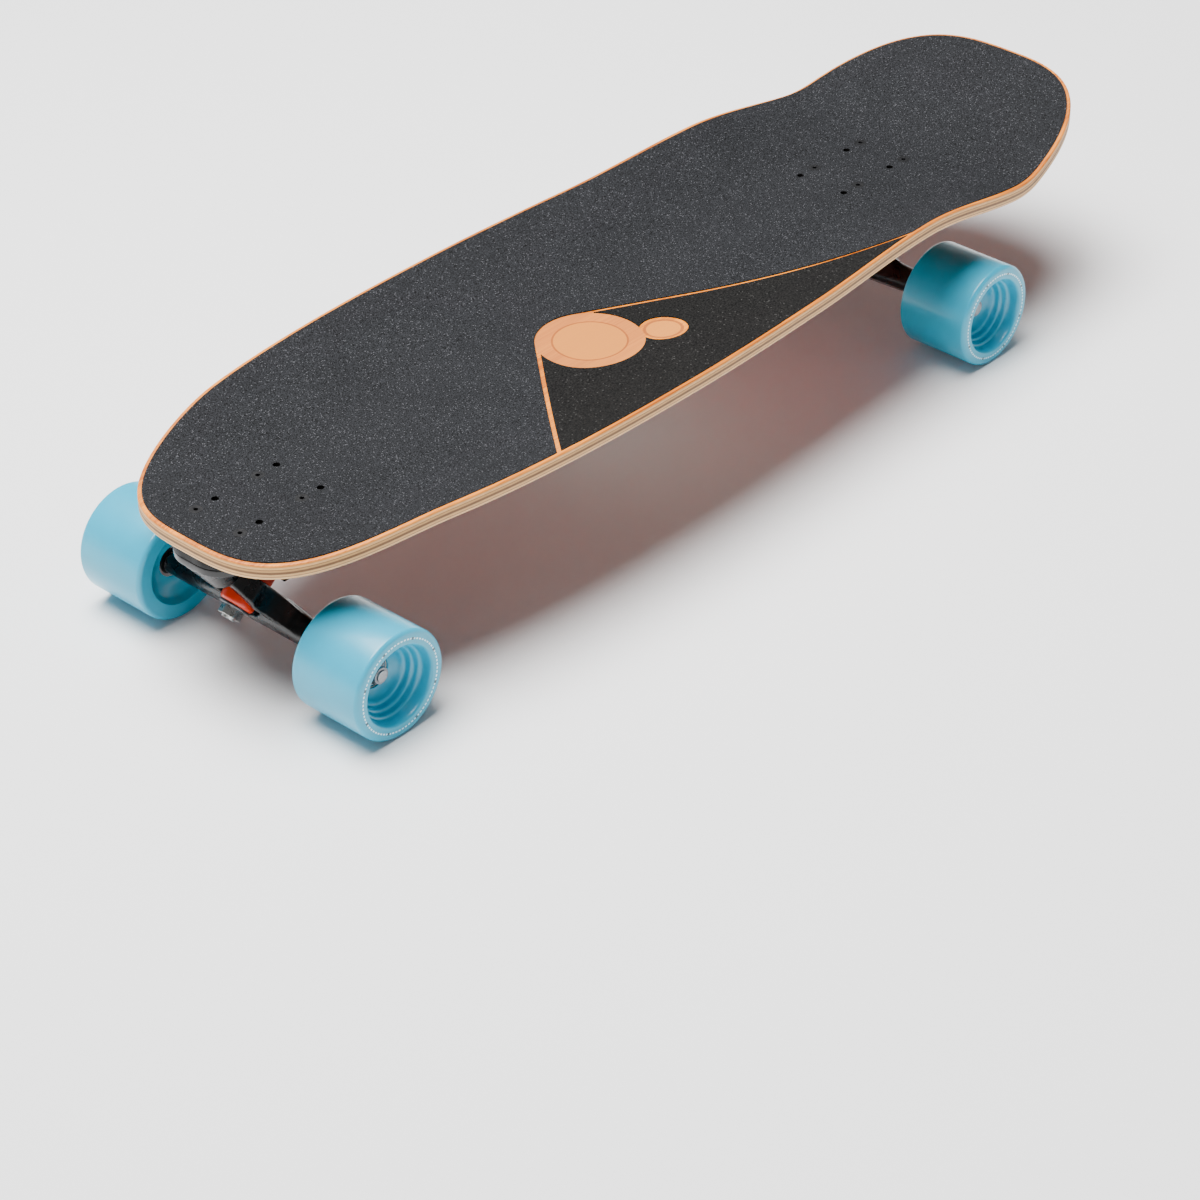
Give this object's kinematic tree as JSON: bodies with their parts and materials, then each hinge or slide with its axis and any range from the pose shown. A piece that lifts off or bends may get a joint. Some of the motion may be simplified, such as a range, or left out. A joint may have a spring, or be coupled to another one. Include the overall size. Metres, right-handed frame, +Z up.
{
  "type": "cruiser longboard",
  "caption": "Cruiser longboard with a pressed wooden deck, kicktail and grip sheet, steering reverse-kingpin trucks on urethane bushings, and wide urethane wheels on ball bearings.",
  "frame": {"origin": "on the ground, under the middle of the deck's overall length, in the board's symmetry plane", "axes": "+X towards the kicktail, +Y to the left side, +Z up"},
  "size_m": [0.8547, 0.264, 0.1487],
  "materials": {
    "deck_core": "satin lacquer over pressed plies",
    "bamboo_veneer": "satin lacquer",
    "rosewood_veneer": "gloss lacquer",
    "grip": "rough grit",
    "grip_coarse": "rough coarse grit",
    "black_steel": "black oxide",
    "zinc_steel": "bright zinc plate",
    "riser_rubber": "matt rubber",
    "black_cast": "gloss powder coat on cast aluminium",
    "pivot_urethane": "matt urethane",
    "bushing_urethane": "satin cast urethane",
    "axle_steel": "turned steel",
    "bearing_steel": "ground steel",
    "spacer_aluminium": "turned",
    "wheel_urethane": "gloss cast urethane",
    "core_nylon": "moulded nylon",
    "shield_rubber": "matt rubber seal",
    "cage_nylon": "moulded nylon"
  },
  "bodies": {
    "deck": {"deck_core": "deck_core", "deck_top_veneer": "bamboo_veneer", "deck_bottom_veneer": "rosewood_veneer", "grip_tape": "grip", "grip_inset": "grip_coarse", "mounting_bolts": "black_steel", "mounting_nuts": "black_steel", "kingpin_nuts": "zinc_steel", "riser_pad_nose": "riser_rubber", "riser_pad_tail": "riser_rubber", "baseplate_nose": "black_cast", "baseplate_tail": "black_cast", "pivot_cup_nose": "pivot_urethane", "pivot_cup_tail": "pivot_urethane", "kingpin_nose": "zinc_steel", "kingpin_tail": "zinc_steel", "board_bushing_nose": "bushing_urethane", "board_bushing_tail": "bushing_urethane", "road_bushing_nose": "bushing_urethane", "road_bushing_tail": "bushing_urethane", "board_washer_nose": "zinc_steel", "board_washer_tail": "zinc_steel", "road_washer_nose": "zinc_steel", "road_washer_tail": "zinc_steel"},
    "truck_nose": {"hanger_nose": "black_cast", "axle_nose": "axle_steel", "axle_nuts_nose": "zinc_steel", "speed_rings_nose": "zinc_steel", "bearing_inner_races_nose": "bearing_steel", "bearing_spacers_nose": "spacer_aluminium"},
    "truck_tail": {"hanger_tail": "black_cast", "axle_tail": "axle_steel", "axle_nuts_tail": "zinc_steel", "speed_rings_tail": "zinc_steel", "bearing_inner_races_tail": "bearing_steel", "bearing_spacers_tail": "spacer_aluminium"},
    "wheel_nose_right": {"tyre_nose_right": "wheel_urethane", "wheel_core_nose_right": "core_nylon", "bearing_outer_races_nose_right": "bearing_steel", "bearing_shields_nose_right": "shield_rubber"},
    "wheel_nose_left": {"tyre_nose_left": "wheel_urethane", "wheel_core_nose_left": "core_nylon", "bearing_outer_races_nose_left": "bearing_steel", "bearing_shields_nose_left": "shield_rubber"},
    "wheel_tail_right": {"tyre_tail_right": "wheel_urethane", "wheel_core_tail_right": "core_nylon", "bearing_outer_races_tail_right": "bearing_steel", "bearing_shields_tail_right": "shield_rubber"},
    "wheel_tail_left": {"tyre_tail_left": "wheel_urethane", "wheel_core_tail_left": "core_nylon", "bearing_outer_races_tail_left": "bearing_steel", "bearing_shields_tail_left": "shield_rubber"},
    "balls_nose_right": {"bearing_balls_nose_right": "bearing_steel", "bearing_cages_nose_right": "cage_nylon"},
    "balls_nose_left": {"bearing_balls_nose_left": "bearing_steel", "bearing_cages_nose_left": "cage_nylon"},
    "balls_tail_right": {"bearing_balls_tail_right": "bearing_steel", "bearing_cages_tail_right": "cage_nylon"},
    "balls_tail_left": {"bearing_balls_tail_left": "bearing_steel", "bearing_cages_tail_left": "cage_nylon"}
  },
  "joints": [
    {"name": "steer_nose", "type": "hinge", "parent": "deck", "child": "truck_nose", "pos_m": [-0.3785, 0, 0.0609], "axis": [-0.6428, 0, 0.766], "range_deg": [-18, 18], "stiffness_Nm_per_rad": 60, "deforming": ["board_bushing_nose", "road_bushing_nose"]},
    {"name": "steer_tail", "type": "hinge", "parent": "deck", "child": "truck_tail", "pos_m": [0.2535, 0, 0.0609], "axis": [0.6428, 0, 0.766], "range_deg": [-18, 18], "stiffness_Nm_per_rad": 60, "deforming": ["board_bushing_tail", "road_bushing_tail"]},
    {"name": "spin_nose_right", "type": "hinge", "parent": "truck_nose", "child": "wheel_nose_right", "pos_m": [-0.3725, -0.0955, 0.039], "axis": [0, 1, 0], "continuous": true},
    {"name": "balls_nose_right", "type": "hinge", "parent": "truck_nose", "child": "balls_nose_right", "pos_m": [-0.3725, -0.0955, 0.039], "axis": [0, 1, 0], "continuous": true},
    {"name": "spin_nose_left", "type": "hinge", "parent": "truck_nose", "child": "wheel_nose_left", "pos_m": [-0.3725, 0.0955, 0.039], "axis": [0, 1, 0], "continuous": true},
    {"name": "balls_nose_left", "type": "hinge", "parent": "truck_nose", "child": "balls_nose_left", "pos_m": [-0.3725, 0.0955, 0.039], "axis": [0, 1, 0], "continuous": true},
    {"name": "spin_tail_right", "type": "hinge", "parent": "truck_tail", "child": "wheel_tail_right", "pos_m": [0.2475, -0.0955, 0.039], "axis": [0, 1, 0], "continuous": true},
    {"name": "balls_tail_right", "type": "hinge", "parent": "truck_tail", "child": "balls_tail_right", "pos_m": [0.2475, -0.0955, 0.039], "axis": [0, 1, 0], "continuous": true},
    {"name": "spin_tail_left", "type": "hinge", "parent": "truck_tail", "child": "wheel_tail_left", "pos_m": [0.2475, 0.0955, 0.039], "axis": [0, 1, 0], "continuous": true},
    {"name": "balls_tail_left", "type": "hinge", "parent": "truck_tail", "child": "balls_tail_left", "pos_m": [0.2475, 0.0955, 0.039], "axis": [0, 1, 0], "continuous": true}
  ],
  "couplings": [
    {"joint": "balls_nose_right", "follows": "spin_nose_right", "ratio": 0.6323},
    {"joint": "balls_nose_left", "follows": "spin_nose_left", "ratio": 0.6323},
    {"joint": "balls_tail_right", "follows": "spin_tail_right", "ratio": 0.6323},
    {"joint": "balls_tail_left", "follows": "spin_tail_left", "ratio": 0.6323}
  ]
}
